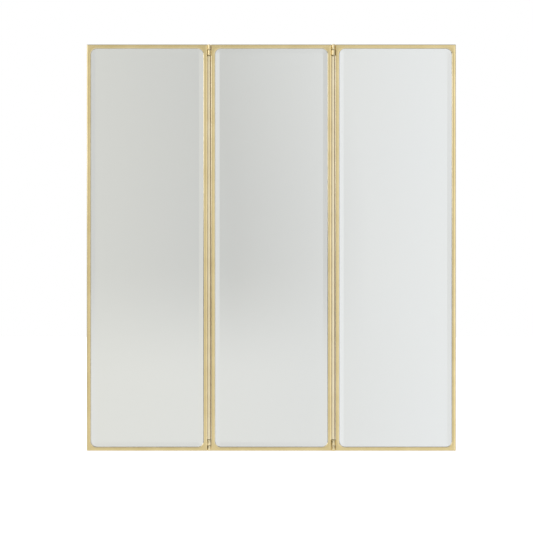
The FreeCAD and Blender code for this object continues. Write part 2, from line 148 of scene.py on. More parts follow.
# ---------------------------------------------------------------- node trees
class Nodes:
    """A node tree, with short ways to add the nodes used here."""

    def __init__(self, owner):
        owner.use_nodes = True
        self.nodes, self.links = owner.node_tree.nodes, owner.node_tree.links

    def add(self, kind, **settings):
        """A new shader node with these settings."""
        node = self.nodes.new("ShaderNode" + kind)
        for key, value in settings.items():
            setattr(node, key, value)
        return node

    def link(self, source, target):
        """Joins an output to an input."""
        self.links.new(source, target)

    def stretched(self, coordinates, scale):
        """Coordinates multiplied by a scale on each axis."""
        node = self.add("Mapping")
        node.inputs["Scale"].default_value = scale
        self.link(coordinates, node.inputs["Vector"])
        return node.outputs["Vector"]

    def noise(self, coordinates, scale, detail=3.0, roughness=0.5):
        """Fractal noise between 0 and 1 at these coordinates."""
        node = self.add("TexNoise")
        node.inputs["Scale"].default_value = scale
        node.inputs["Detail"].default_value = detail
        node.inputs["Roughness"].default_value = roughness
        self.link(coordinates, node.inputs["Vector"])
        return node.outputs["Fac"]

    def parts(self, coordinates):
        """The x, y and z of a vector."""
        node = self.add("SeparateXYZ")
        self.link(coordinates, node.inputs[0])
        return node.outputs["X"], node.outputs["Y"], node.outputs["Z"]

    def spread(self, value, low, high, to_low=0.0, to_high=1.0, shape="LINEAR"):
        """The value's range low to high, clamped and moved to another range."""
        node = self.add("MapRange", interpolation_type=shape)
        for key, number in zip(("From Min", "From Max", "To Min", "To Max"), (low, high, to_low, to_high)):
            node.inputs[key].default_value = number
        self.link(value, node.inputs["Value"])
        return node.outputs["Result"]

    def blend(self, factor, first, second):
        """A colour between two, each a socket or a plain colour."""
        node = self.add("Mix", data_type="RGBA")
        for value, socket in ((factor, node.inputs[0]), (first, node.inputs[6]), (second, node.inputs[7])):
            if isinstance(value, bpy.types.NodeSocket):
                self.link(value, socket)
            else:
                socket.default_value = value if isinstance(value, float) else (*value, 1.0)
        return node.outputs[2]

    def math(self, kind, first, second):
        """An arithmetic operation on two values, each a socket or a number."""
        node = self.add("Math", operation=kind)
        for value, socket in ((first, node.inputs[0]), (second, node.inputs[1])):
            if isinstance(value, bpy.types.NodeSocket):
                self.link(value, socket)
            else:
                socket.default_value = value
        return node.outputs[0]


class Tree(Nodes):
    """A material's nodes, with its surface shader."""

    def __init__(self, name):
        self.material = bpy.data.materials.new(name)
        super().__init__(self.material)
        self.shader = self.nodes["Principled BSDF"]

    def where(self, source="object"):
        """Object coordinates in metres, or an attribute: grain is (along a piece, round its section, 0)."""
        if source == "object":
            return self.add("TexCoord").outputs["Object"]
        return self.add("Attribute", attribute_name=source).outputs["Vector"]

    def bump(self, height, strength, distance):
        """Fine relief of the surface from a height."""
        node = self.add("Bump")
        node.inputs["Strength"].default_value = strength
        node.inputs["Distance"].default_value = distance
        self.link(height, node.inputs["Height"])
        self.link(node.outputs["Normal"], self.shader.inputs["Normal"])

    def set(self, **values):
        """Plain values of the surface shader."""
        for key, value in values.items():
            self.shader.inputs[key.replace("_", " ").title().replace("Ior", "IOR")].default_value = value

    def feed(self, **sockets):
        """Sockets that drive the surface shader."""
        for key, socket in sockets.items():
            self.link(socket, self.shader.inputs[key.replace("_", " ").title()])


# The third colour is painted shade: an olive dark for the frame's lip by the glass and for the gap strips'
# ends and hidden bars.
POLISHED_LINE, WORN_BRASS, PAINTED_SHADE = (0.98, 0.9, 0.68), (0.94, 0.87, 0.69), (0.3, 0.265, 0.15)


def brushed_brass(name, light, dark, smooth, rough, follow="grain"):
    """Satin brass: fine lines along the piece, slow clouds, dark specks, paler worn edges, painted shade by
    the glass and in deep gaps.
    """
    tree = Tree(name)
    tree.set(metallic=1.0)
    stretched = tree.stretched(tree.where(follow), (9.0, 2600.0, 2600.0))
    lines = tree.noise(stretched, scale=1.0, detail=4.0, roughness=0.62)
    clouds = tree.noise(tree.where(), scale=14.0, detail=4.0, roughness=0.55)
    specks = tree.noise(tree.where(), scale=420.0, detail=2.0, roughness=0.6)
    tone = tree.blend(tree.spread(clouds, 0.34, 0.68), dark, light)
    tone = tree.blend(tree.spread(lines, 0.3, 0.72, 0.0, 0.16), tone, POLISHED_LINE)
    tone = tree.blend(tree.spread(specks, 0.66, 0.78, 0.0, 0.22), tone, tuple(0.6 * c for c in dark))
    if follow == "grain":
        edge = tree.add("Attribute", attribute_name="edge").outputs["Fac"]
        uneven = tree.spread(clouds, 0.3, 0.6, 0.5, 1.0)
        worn = tree.math("MULTIPLY", tree.math("MAXIMUM", edge, 0.0), uneven)
        tone = tree.blend(tree.math("MULTIPLY", worn, 0.8), tone, WORN_BRASS)
        # painted shade: where the edge value falls below 0 the brass darkens towards the olive shade colour
        tone = tree.blend(tree.spread(edge, 0.0, -1.0), tone, PAINTED_SHADE)
    tree.feed(base_color=tone, roughness=tree.spread(lines, 0.25, 0.75, smooth, rough))
    tree.bump(lines, strength=0.12, distance=0.0004)
    return tree.material


def silvering():
    """Silver behind the glass, with the faintest warm and cool clouds."""
    tree = Tree("silvering")
    tree.set(metallic=1.0, roughness=0.012)
    clouds = tree.noise(tree.where(), scale=3.0, detail=2.0)
    tree.feed(base_color=tree.blend(clouds, (0.955, 0.955, 0.945), (0.945, 0.95, 0.955)))
    return tree.material


def clear_glass():
    """Low-iron float glass with a breath of green, and a trace of dust that dulls it here and there."""
    tree = Tree("mirror_glass")
    tree.set(transmission_weight=1.0, ior=1.5, roughness=0.0)
    dust = tree.noise(tree.where(), scale=900.0, detail=2.0, roughness=0.7)
    clean, dusty = (0.985, 0.992, 0.986), (0.95, 0.95, 0.94)
    tree.feed(base_color=tree.blend(tree.spread(dust, 0.7, 0.8), clean, dusty))
    return tree.material


def hardboard(name, pale, dark):
    """Pressed fibre: short crossing fibres, darker flecks and a slow change of tone."""
    tree = Tree(name)
    place = tree.where()
    upright = tree.stretched(place, (900.0, 900.0, 160.0))
    level = tree.stretched(place, (170.0, 900.0, 820.0))
    fibres = tree.noise(upright, scale=1.0, detail=5.0, roughness=0.7)
    crossing = tree.noise(level, scale=1.0, detail=5.0, roughness=0.7)
    both = tree.math("MULTIPLY", tree.math("ADD", fibres, crossing), 0.5)
    clouds = tree.noise(place, scale=5.0)
    tone = tree.blend(tree.spread(both, 0.38, 0.62), dark, pale)
    tone = tree.blend(tree.spread(clouds, 0.3, 0.7, 0.0, 0.35), tone, tuple(0.7 * c for c in dark))
    tree.feed(base_color=tone, roughness=tree.spread(both, 0.3, 0.7, 0.62, 0.85))
    tree.bump(both, strength=0.35, distance=0.0005)
    return tree.material


def zinc_plate(name):
    """Bright zinc: small crystal patches that mirror a little differently, and handling marks."""
    tree = Tree(name)
    tree.set(metallic=1.0)
    place = tree.where()
    cells = tree.add("TexVoronoi")
    cells.inputs["Scale"].default_value = 260.0
    tree.link(place, cells.inputs["Vector"])
    clouds = tree.noise(place, scale=40.0, detail=4.0)
    patches = tree.spread(cells.outputs["Distance"], 0.1, 0.9)
    tone = tree.blend(patches, (0.66, 0.68, 0.7), (0.5, 0.52, 0.55))
    tree.feed(base_color=tone, roughness=tree.spread(clouds, 0.3, 0.7, 0.24, 0.44))
    tree.bump(clouds, strength=0.08, distance=0.0003)
    return tree.material


def soft_stuff(name, light, dark, grain_scale, rough):
    """Rubber, foam or nylon: fine moulded grain with paler rubbed patches."""
    tree = Tree(name)
    place = tree.where()
    fine = tree.noise(place, grain_scale, roughness=0.6)
    slow = tree.noise(place, scale=30.0)
    tone = tree.blend(tree.spread(slow, 0.35, 0.7), dark, light)
    tree.feed(base_color=tone, roughness=tree.spread(fine, 0.3, 0.7, rough - 0.08, rough + 0.08))
    tree.bump(fine, strength=0.3, distance=0.0003)
    return tree.material


frame_brass = brushed_brass("satin_brass", (0.885, 0.715, 0.375), (0.79, 0.63, 0.31), 0.15, 0.28)
strip_brass = brushed_brass("pale_brass_strip", (0.93, 0.81, 0.55), (0.85, 0.72, 0.45), 0.2, 0.34)
hinge_brass = brushed_brass("polished_brass", (0.94, 0.81, 0.51), (0.83, 0.68, 0.38), 0.12, 0.26, "object")
silver = silvering()
glass = clear_glass()
board = hardboard("hardboard", (0.30, 0.20, 0.12), (0.17, 0.105, 0.06))
zinc = zinc_plate("zinc_plate")
rubber = soft_stuff("black_rubber", (0.045, 0.044, 0.042), (0.02, 0.02, 0.02), 1800.0, 0.7)
foam = soft_stuff("white_foam", (0.74, 0.73, 0.70), (0.6, 0.59, 0.56), 1400.0, 0.85)
nylon = soft_stuff("dark_nylon", (0.05, 0.036, 0.02), (0.028, 0.02, 0.012), 1500.0, 0.45)


# ---------------------------------------------------------------- brass frame of a leaf
def section(wall):
    """Section of a frame member, as one closed line.

    Each point has a share (0 on the sight side, 1 on the outer side), its inset from that side, its depth and
    its edge value (above 0 on a worn rounded edge, -1 for painted shade in the corner by the glass). Edges
    are quarter circles and the face between them is a shallow parabola.
    """
    turn = np.radians(np.linspace(0, 90, 9))
    inner = np.stack([0 * turn, INNER_EDGE * (1 - np.cos(turn)), CROWN + INNER_EDGE * (1 - np.sin(turn)),
                      np.sin(2 * turn)], 1)
    share = np.linspace(0, 1, 9)[1:-1]
    bulge = CROWN * (2 * share - 1) ** 2
    face = np.stack([share, 0 * share, bulge, 0 * share], 1)
    outer = np.stack([0 * turn + 1, OUTER_EDGE * (1 - np.sin(turn)), CROWN + OUTER_EDGE * (1 - np.cos(turn)),
                      np.sin(2 * turn)], 1)
    # the lip's back by the glass gets -1: painted shade there
    lip = [(0, BACK_EDGE, REVEAL, -1), (0, 0, REVEAL - BACK_EDGE, -1)]
    worn, rubbed = 0.6, 0.4
    back = [(1, 0, DEPTH - BACK_EDGE, worn), (1, BACK_EDGE, DEPTH, worn),
            (1, wall - BACK_EDGE, DEPTH, rubbed), (1, wall, DEPTH - BACK_EDGE, rubbed),
            (1, wall, SHEET + CROWN, 0), (0, SHEET, SHEET + CROWN, 0),
            (0, SHEET, REVEAL - BACK_EDGE, 0), (0, SHEET - BACK_EDGE, REVEAL, 0)]
    return np.concatenate([lip, inner, face, outer, back])


def reach(inset, turn):
    """Distance from the centre of the sight corner to the inset outer line, along rays at these turns.

    The outer line is a square with a small quarter circle on its corner. A ray meets a side at half / cos,
    and the circle where a quadratic in the distance is zero.
    """
    half = FACE_WIDTH + SIGHT_RADIUS - inset
    curve = np.maximum(OUTER_CORNER - inset, SMALLEST_CORNER)
    c, s = np.cos(turn), np.sin(turn)
    flat = half / np.maximum(c, s)
    k = half - curve
    curved = k * (c + s) + np.sqrt(np.maximum(k ** 2 * ((c + s) ** 2 - 2) + curve ** 2, 0))
    return np.where(np.minimum(c, s) / np.maximum(c, s) * half > k, curved, flat)


def across(line, shrink=0.0):
    """Distance of each section point from the outer side, and its depth, drawn in all round by shrink."""
    share, inset, depth = line[:, 0], line[:, 1], line[:, 2]
    flat = share * inset + (1 - share) * (FACE_WIDTH - inset)
    inner, outer = FACE_WIDTH - INNER_EDGE, OUTER_EDGE
    middle = (share > 0) & (share < 1)
    flat = np.where(middle, inner + (outer - inner) * share, flat)
    step = np.roll(np.stack([flat, depth], 1), -1, 0) - np.roll(np.stack([flat, depth], 1), 1, 0)
    step /= np.maximum(np.linalg.norm(step, axis=1, keepdims=True), 1e-9)
    area = np.sum(flat * np.roll(depth, -1) - np.roll(flat, -1) * depth)
    inward = np.stack([-step[:, 1], step[:, 0]], 1) * np.sign(area)
    return flat + shrink * inward[:, 0], depth + shrink * inward[:, 1]


def straight(line, start, end):
    """Loops (across, depth, along) of a straight member between two stations, grooved finely at each end."""
    stations = [(start, JOINT_GROOVE), (start + JOINT_GROOVE, 0),
                (end - JOINT_GROOVE, 0), (end, JOINT_GROOVE)]
    loops = [np.stack([*across(line, shrink), np.full(len(line), along)], 1) for along, shrink in stations]
    return np.array(loops)


def corner_loops(line):
    """Loops of a corner block: a straight leg, rays that fan round the sight corner's centre, a second leg.

    The rays stand closer together about the diagonal, where the outer line turns its small corner.
    """
    centre = FACE_WIDTH + SIGHT_RADIUS
    share, inset, depth = line[:, 0], line[:, 1], line[:, 2]
    before, close = np.linspace(0, 42.5, 12), np.linspace(43.6, 46.4, 9)
    turn = np.radians(np.concatenate([before, close, 90 - before[::-1]]))
    near = SIGHT_RADIUS + np.where(share > 0, INNER_EDGE, inset)[None, :]
    far = reach(np.where(share < 1, OUTER_EDGE, inset)[None, :], turn[:, None])
    middle = ((share > 0) & (share < 1))[None, :]
    distance = np.where(middle, near + (far - near) * share, np.where(share[None, :] > 0.5, far, near))
    fan = np.stack([centre - distance * np.cos(turn)[:, None], np.broadcast_to(depth, distance.shape),
                    centre - distance * np.sin(turn)[:, None]], -1)
    leg = straight(line, CORNER_LEG, centre)[:2]
    other = leg[::-1][:, :, [2, 1, 0]]
    return np.concatenate([leg, fan, other])


def run_of(loops):
    """Grain of a tube, per point: how far along its middle line, and how far round its section."""
    middle = loops.mean(1)
    along = np.concatenate([[0], np.cumsum(np.linalg.norm(np.diff(middle, axis=0), axis=1))])
    ring = np.linalg.norm(np.diff(loops[len(loops) // 2], axis=0), axis=1)
    round_it = np.concatenate([[0], np.cumsum(ring)])
    return np.stack(np.broadcast_arrays(along[:, None], round_it[None, :], 0.0), -1).reshape(-1, 3) * MM


def frame_of(leaf):
    """Brass of one leaf: two stiles, two rails and four corners."""
    rail_line, corner_line = section(SHEET), section(CORNER_WALL)
    stile = straight(rail_line, CORNER_LEG, HEIGHT - CORNER_LEG)
    for name, side in (("_left_stile", -1), ("_right_stile", 1)):
        upright = np.stack([side * (HALF_LEAF - stile[..., 0]), stile[..., 1], stile[..., 2]], -1)
        add_member(leaf + name, leaf, upright, stile, rail_line)
    rail = straight(rail_line, CORNER_LEG - HALF_LEAF, HALF_LEAF - CORNER_LEG)
    for name, top in (("_bottom_rail", False), ("_top_rail", True)):
        height = HEIGHT - rail[..., 0] if top else rail[..., 0]
        add_member(leaf + name, leaf, np.stack([rail[..., 2], rail[..., 1], height], -1), rail, rail_line)
    loops = corner_loops(corner_line)
    shells = [tube(np.stack([side * (HALF_LEAF - loops[..., 0]), loops[..., 1],
                             HEIGHT - loops[..., 2] if top else loops[..., 2]], -1))
              for side in (-1, 1) for top in (False, True)]
    apart = 0.05  # metres between the corners' places in the grain
    grain = np.concatenate([run_of(loops) + (0, apart * k, 0) for k in range(len(shells))])
    edge = np.tile(corner_line[:, 3], len(loops) * len(shells))
    piece(leaf + "_corners", leaf, [leaf + "_corner_blocks"], join(shells), frame_brass,
          grain, edge)


def add_member(name, leaf, turned_loops, loops, line):
    """A stile or a rail, with grain that starts at its own place."""
    grain = run_of(loops) + (0, turned_loops[0, 0, 0] * MM, 0)
    edge = np.tile(line[:, 3], len(loops))
    piece(name + "_brass", leaf, [name], tube(turned_loops), frame_brass, grain, edge)


# ---------------------------------------------------------------- mirror glass
BEVEL_WIDTH, BEVEL_DROP = 18.0, 2.0
GLASS_ARRIS = 0.3
SILVER_GAP = 0.06  # between the silver and the foam behind it


def rounded_loop(inset, radius, steps=16):
    """Rounded rectangle about a leaf's middle, inset from its sides: quarter circles joined by lines."""
    turn = np.radians(np.linspace(0, 90, steps))
    x, z = HALF_LEAF - inset - radius, HEIGHT / 2 - inset - radius
    corners = []
    for k, (sx, sz) in enumerate(((1, 1), (-1, 1), (-1, -1), (1, -1))):
        angle = turn + k * np.pi / 2
        height = HEIGHT / 2 + sz * z + radius * np.sin(angle)
        corners.append(np.stack([sx * x + radius * np.cos(angle), height], 1))
    return np.concatenate(corners)


def mirror_of(leaf):
    """Glass plate through five rounded loops: back, two of the ground edge, the bevel's foot, its ridge."""
    low, high = (np.array(corner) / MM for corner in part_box(leaf + "_mirror"))
    inset, radius = low[2], SIGHT_RADIUS + FACE_WIDTH - low[2]
    front, back = low[1] - FACE_Y, high[1] - FACE_Y - SILVER_GAP
    foot = front + BEVEL_DROP
    loops = [(inset + GLASS_ARRIS, back), (inset, back - GLASS_ARRIS), (inset, foot + GLASS_ARRIS),
             (inset + GLASS_ARRIS, foot), (inset + BEVEL_WIDTH, front)]
    rings = []
    for gap, depth in loops:
        ring = rounded_loop(gap, radius - (gap - inset))
        rings.append(np.stack([ring[:, 0], np.full(len(ring), depth), ring[:, 1]], 1))
    shell = tube(np.array(rings))
    picks = np.zeros(len(shell[1]), int)
    picks[-2] = 1  # the silver is on the back cap
    piece(leaf + "_mirror_glass", leaf, [leaf + "_mirror"], shell, [glass, silver],
          picks=picks, crease=1.5)


# ---------------------------------------------------------------- hinges
BARREL = 4.3
BARREL_EASE = ((0.5, 0), (0.12, 0.38), (0, 0.75))  # in from the barrel's side, along from its end
KNUCKLE = 15.6
WASHER, WASHER_RADIUS, WASHER_EDGE = 0.8, 4.0, 0.15
WASHER_PLAY = 0.05  # below the knuckle that turns on the washer
FROM_END = 0.5
PLATE, PLATE_DEPTH, PLATE_START = 2.4, 14.0, 2.5
ARM, ARM_OVERLAP = 2.8, 1.0
PIN, PIN_PLAY = 2.0, 0.05
CAP = 2.0
FORWARD = {"left": 1.5, "right": 11.5}
SCREW_SET_BACK, SCREW_SPREAD = 8.5, 4.2


def knuckle_foot(top, wing):
    """Height of a knuckle's lower end. The wing's knuckle stands on the middle leaf's, over the washer."""
    foot = HEIGHT - FROM_END - 2 * KNUCKLE - WASHER if top else FROM_END
    return foot + KNUCKLE + WASHER if wing else foot


def turned(profile, centre, axis=2, steps=40):
    """Surface of revolution: each (radius, height) of the profile goes round a line along an axis."""
    turn = np.linspace(0, 2 * np.pi, steps, endpoint=False)
    radius, height = np.asarray(profile, float).T
    first, second = radius[:, None] * np.cos(turn), radius[:, None] * np.sin(turn)
    height = np.broadcast_to(height[:, None], first.shape)
    order = {0: (height, first, second), 1: (second, height, first), 2: (first, second, height)}[axis]
    return tube(np.stack(order, -1) + np.asarray(centre, float))


def ring_shell(profile, centre, steps=48):
    """Surface of revolution of a closed profile, with no caps."""
    points, _ = turned(profile, centre, steps=steps)
    return points, grid(len(profile), steps)


def soft_block(low, high, edge=0.4, steps=4):
    """Box with rounded edges: quarter circles on its upright edges, and its ends drawn in along one more."""
    low, high = np.minimum(low, high), np.maximum(low, high)
    turn = np.radians(np.linspace(0, 90, steps))
    middle, half = (low + high) / 2, (high - low) / 2
    outline = []
    for k, (sx, sy) in enumerate(((1, 1), (-1, 1), (-1, -1), (1, -1))):
        angle = turn + k * np.pi / 2
        outline.append(np.stack([np.full(steps, sx), np.full(steps, sy), np.cos(angle), np.sin(angle)], 1))
    outline = np.concatenate(outline)
    foot = [(edge * (1 - np.sin(t)) - half[2], edge * (1 - np.cos(t))) for t in turn[::-1]]
    rings = []
    for height, draw in foot + [(-height, draw) for height, draw in foot[::-1]]:
        x = outline[:, 0] * (half[0] - edge) + outline[:, 2] * (edge - draw)
        y = outline[:, 1] * (half[1] - edge) + outline[:, 3] * (edge - draw)
        rings.append(np.stack([x, y, np.full(len(x), height)], 1) + middle)
    return tube(np.array(rings))


def knuckle(side_name, place, wing):
    """Barrel turned from one profile with eased ends and a blind bore, and the plate that it grows out of.

    The right hinges stand further forward, so a cranked arm joins their barrels to their plates.
    """
    joint = -1 if side_name == "left" else 1
    side = joint if wing else -joint
    foot = knuckle_foot(place == "top", wing)
    top = foot + KNUCKLE
    forward = FORWARD[side_name]
    bore = PIN + (PIN_PLAY if wing else 0.0)
    eased = [(BARREL - inward, along) for inward, along in BARREL_EASE]
    profile = [(bore, 0), *eased, *((radius, KNUCKLE - height) for radius, height in eased[::-1]),
               (NEAR_AXIS, KNUCKLE), (NEAR_AXIS, KNUCKLE - CAP), (bore, KNUCKLE - CAP), (bore, 0)]
    profile = np.array(profile)
    if not wing:
        profile[:, 1] = KNUCKLE - profile[:, 1]
    profile[:, 1] += foot
    barrel = ring_shell(profile, (0, -forward, 0))
    near, far = side * (HALF_GAP - PLATE), side * HALF_GAP
    if side_name == "left":
        shells = [barrel, soft_block((near, -forward, foot), (far, PLATE_DEPTH, top))]
    else:
        arm_far = HALF_GAP - PLATE + ARM_OVERLAP
        arm_near = arm_far - ARM
        arm = soft_block((side * arm_near, -forward, foot), (side * arm_far, PLATE_START + SHEET, top))
        shells = [barrel, arm, soft_block((near, PLATE_START, foot), (far, PLATE_DEPTH, top))]
    half = "upper" if wing else "lower"
    node = f"{side_name}_{place}_hinge_{half}_half"
    piece(f"{side_name}_{place}_{half}_knuckle", side_name if wing else "centre", [node],
          join(shells), hinge_brass, offset=joint * PITCH / 2)


def washers():
    """Washers: one ring profile with chamfered rims, turned about each hinge's pin."""
    shells = []
    inner, outer = PIN + 0.1, WASHER_RADIUS
    for side_name, joint in (("left", -1), ("right", 1)):
        for top in (False, True):
            low = knuckle_foot(top, False) + KNUCKLE
            high = low + WASHER - WASHER_PLAY
            profile = [(inner, low), (outer - WASHER_EDGE, low), (outer, low + WASHER_EDGE),
                       (outer, high - WASHER_EDGE), (outer - WASHER_EDGE, high), (inner, high), (inner, low)]
            shells.append(ring_shell(np.array(profile), (joint * PITCH / 2, -FORWARD[side_name], 0)))
    piece("washers", "centre", ["hinge_washers"], join(shells), nylon)


# ---------------------------------------------------------------- screws and rivets
PLATE_SCREW, PLATE_SCREW_SHANK = (2.8, 1.5, 1.5), 4.8  # head radius, head height, shank radius; shank length
BOARD_SCREW, BOARD_SCREW_BITE = (2.8, 1.8, 1.5), 4.8
HANGER_SCREW, HANGER_SCREW_SHANK = (2.3, 1.3, 1.2), 3.6
SLOT_WIDTH, SLOT_DEPTH = 0.8, 0.7
HEAD_FALL = 0.45  # how much of a domed head's height is lost at its rim


def slotted_head(sizes, length, flat=False):
    """Screw about +Z with its seat at z = 0: a domed or flat slotted head, and a plain shank below the seat.

    The head is a disc of chords: x is radius times u, y is radius times v times the root of (1 - u squared),
    and its height falls with the fourth power of the distance from the middle. The chords beside the slot
    stand twice, on top and on the slot's floor.
    """
    radius, height, shank_radius = sizes
    half, chords = SLOT_WIDTH / 2 / radius, 8
    left, right = np.linspace(-1, -half, chords), np.linspace(half, 1, chords)
    u = np.concatenate([left, [-half, half], right])[:, None]
    sunk = np.zeros(u.shape)
    sunk[chords:chords + 2] = SLOT_DEPTH
    v = np.linspace(-1, 1, 15)[None, :]
    x, y = radius * u + 0 * v, radius * v * np.sqrt(np.maximum(1 - u ** 2, 0))
    fall = 0 if flat else HEAD_FALL * height * ((x ** 2 + y ** 2) / radius ** 2) ** 2
    top = np.stack([x, y, height - fall - sunk + 0 * x], -1).reshape(-1, 3)
    rows, columns = x.shape
    first_side = np.arange(rows) * columns
    rim = np.concatenate([first_side, (first_side + columns - 1)[::-1]])
    lower = top[rim] * (1, 1, 0)
    if flat:
        lower *= (shank_radius / radius, shank_radius / radius, 1)
    around = lower / np.linalg.norm(lower, axis=1, keepdims=True)
    collar = around * shank_radius
    tip = collar + (0, 0, -length)
    point = around * (0.6 * shank_radius) + (0, 0, -length - 0.2)
    start, count = len(top), len(rim)
    below = start + np.arange(count)
    skirt = np.stack([rim, np.roll(rim, -1), np.roll(below, -1), below], 1).tolist()
    end = [(below + 3 * count).tolist()]
    faces = patch(rows, columns) + skirt + grid(4, count, start) + end
    return np.concatenate([top, lower, collar, tip, point]), faces


def placed(shell, at, axis, spin=0.0):
    """The shell turned so that its +Z runs along the axis, after a spin about it, and moved to a point."""
    points, faces = shell
    turn = np.array([[np.cos(spin), -np.sin(spin), 0], [np.sin(spin), np.cos(spin), 0], [0, 0, 1]])
    aim = np.array(Vector((0, 0, 1)).rotation_difference(Vector(axis)).to_matrix())
    return points @ (aim @ turn).T + np.asarray(at, float), faces


def board_screws_of(leaf, inset):
    """Board screws, one near each corner. On the middle leaf the top ones sit on the hangers."""
    shells = []
    draw = np.random.default_rng(11)
    for side in (-1, 1):
        for top in (False, True):
            seat = BOARD_BACK + (HANGER if leaf == "centre" and top else 0)
            at = (side * (HALF_LEAF - inset), seat, HEIGHT - inset if top else inset)
            head = slotted_head(BOARD_SCREW, seat - BOARD_FRONT + BOARD_SCREW_BITE)
            shells.append(placed(head, at, (0, 1, 0), draw.uniform(0, np.pi)))
    piece(leaf + "_board_fixings", leaf, [leaf + "_board_screws"], join(shells), zinc)


def hinge_screws_of(leaf):
    """Flat hinge screws, two in each plate, sunk flush with its face."""
    shells = []
    draw = np.random.default_rng(5)
    for side in HINGE_SIDES[leaf]:
        for top in (False, True):
            middle = knuckle_foot(top, leaf != "centre") + KNUCKLE / 2
            for step in (-SCREW_SPREAD, SCREW_SPREAD):
                at = (side * (HALF_LEAF + PLATE - PLATE_SCREW[1]), SCREW_SET_BACK, middle + step)
                head = slotted_head(PLATE_SCREW, PLATE_SCREW_SHANK, flat=True)
                shells.append(placed(head, at, (side, 0, 0), draw.uniform(0, np.pi)))
    piece(leaf + "_hinge_fixings", leaf, [leaf + "_hinge_screws"], join(shells), hinge_brass)


# ---------------------------------------------------------------- gap strips
STRIP, STRIP_SET_BACK, STRIP_LEG, SLIT, STRIP_CLEARANCE = 1.2, 1.0, 14.7, 2.8, 0.5
STRIP_BEND, STRIP_FILLET, STRIP_EASE = 0.6, 0.3, 0.3
STRIP_STOP = FROM_END + 2 * KNUCKLE + WASHER + 2.0  # the channel ends this far from the leaf's ends
STRIP_SHADE = 0.8  # how much painted shade darkens the strip's channel ends and its bars behind the hinges
RUBBED = 0.3  # how worn its front is
RIVET_HEAD, RIVET_RADIUS, RIVET_SHANK = 0.7, 2.2, 1.25
RIVET_SHARES = (0.08, 0.36, 0.64, 0.92)


def channel_line(front, back):
    """The strip's U section as one closed line of (across the gap, depth), with two rounded free edges.

    The web lies on the stile. The flanges reach front and back across the gap.
    """
    turn = np.radians(np.linspace(0, 90, 6))
    bend = STRIP_BEND * np.stack([1 - np.sin(turn), 1 - np.cos(turn)], 1)
    lip, nose = STRIP / 2, np.radians(np.linspace(80, -80, 7))
    rounded = lip * np.stack([np.cos(nose) - 1, np.sin(nose)], 1)
    start, cut = STRIP + STRIP_FILLET, STRIP + 0.3 * STRIP_FILLET
    hollow = np.array([(start, STRIP), (cut, cut), (STRIP, start)])
    return np.concatenate([bend[::-1] * (1, -1) + (0, STRIP_LEG), rounded + (back, STRIP_LEG - lip),
                           hollow * (1, -1) + (0, STRIP_LEG), hollow[::-1], rounded + (front, lip), bend])


def strip_of(leaf):
    """Gap strip: the channel's section carried straight up the gap between the hinges.

    The front flange stops at the slit and the back one nearly closes the gap. Beyond the channel's ends only
    the back flange goes on, behind the hinges, as two rounded bars.
    """
    side = STRIP_SIDE[leaf]
    end_low, end_high = (corner[2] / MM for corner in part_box(leaf + "_gap_strip"))
    low, high = STRIP_STOP, HEIGHT - STRIP_STOP
    back = 2 * HALF_GAP - STRIP_CLEARANCE
    line = channel_line(2 * HALF_GAP - SLIT, back)
    stations = np.array([low, low + STRIP_EASE, high - STRIP_EASE, high])
    across_gap, depth = side * (HALF_LEAF + line[:, 0]), STRIP_SET_BACK + line[:, 1]
    loops = np.stack(np.broadcast_arrays(across_gap[None, :], depth[None, :], stations[:, None]), -1)
    front_edge = np.where(line[:, 1] < 0.1, RUBBED, 0.0)
    # painted shade: the channel's end loops and the bars behind the hinges are darkened where the gap is deep
    painted_shade_loop = np.full(len(line), -STRIP_SHADE)
    shells, grain, edge = [tube(loops)], [run_of(loops)], [painted_shade_loop, front_edge, front_edge, painted_shade_loop]
    near, far = side * HALF_LEAF, side * (HALF_LEAF + back)
    deepest, overlap = STRIP_SET_BACK + STRIP_LEG, 0.2
    for bar_low, bar_high in ((end_low, low + overlap), (high - overlap, end_high)):
        bar = soft_block((near, deepest - STRIP, bar_low), (far, deepest, bar_high))
        shells.append(bar)
        grain.append(bar[0][:, [2, 0, 1]] * MM)  # along the bar is up
        edge.append(np.full(len(bar[0]), -STRIP_SHADE))
    piece(leaf + "_gap_channel", leaf, [leaf + "_gap_strip"], join(shells), strip_brass,
          np.concatenate(grain), np.concatenate(edge))


def rivets_of(leaf):
    """Rivets: one profile through outer dome, shank and inner dome, turned about the rivet's axis."""
    side = STRIP_SIDE[leaf]
    depth = STRIP_SET_BACK + (STRIP + STRIP_LEG) / 2
    turn = np.radians(np.linspace(0, 90, 7))
    dome = np.stack([RIVET_RADIUS * np.sin(turn), RIVET_HEAD * np.cos(turn)], 1)
    length = STRIP + SHEET
    shank = [(RIVET_SHANK, 0), (RIVET_SHANK, -length)]
    profile = np.concatenate([dome, shank, (dome * (1, -1) + (0, -length))[::-1]])
    profile[0, 0] = profile[-1, 0] = NEAR_AXIS
    profile[:, 1] *= side
    shells = [turned(profile, (side * (HALF_LEAF + STRIP), depth, share * HEIGHT), axis=0, steps=24)
              for share in RIVET_SHARES]
    piece(leaf + "_gap_rivets", leaf, [leaf + "_strip_rivets"], join(shells), hinge_brass)


# ---------------------------------------------------------------- back of a leaf
board_low, board_high = (np.array(corner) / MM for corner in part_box("left_backing_board"))
BOARD_FRONT, BOARD_BACK = board_low[1] - FACE_Y, board_high[1] - FACE_Y
BOARD_INSET = board_low[2]
TAB_WIDTH, TAB, TAB_REACH, TAB_FOOT, TAB_BEND = 12.0, 1.0, 8.0, 6.0, 1.6
TAB_SHARES = (0.25, 0.5, 0.75)
PAD_WIDTH, PAD_LENGTH, PAD_FROM_END = 4.0, 14.0, 10.0
PAD_CROWN = 0.45  # the flat crown's share of the pad's width
HANGER, HANGER_LEG, HANGER_NOSE, HANGER_CLEARANCE = 1.5, 41.5, 9.5, 0.5


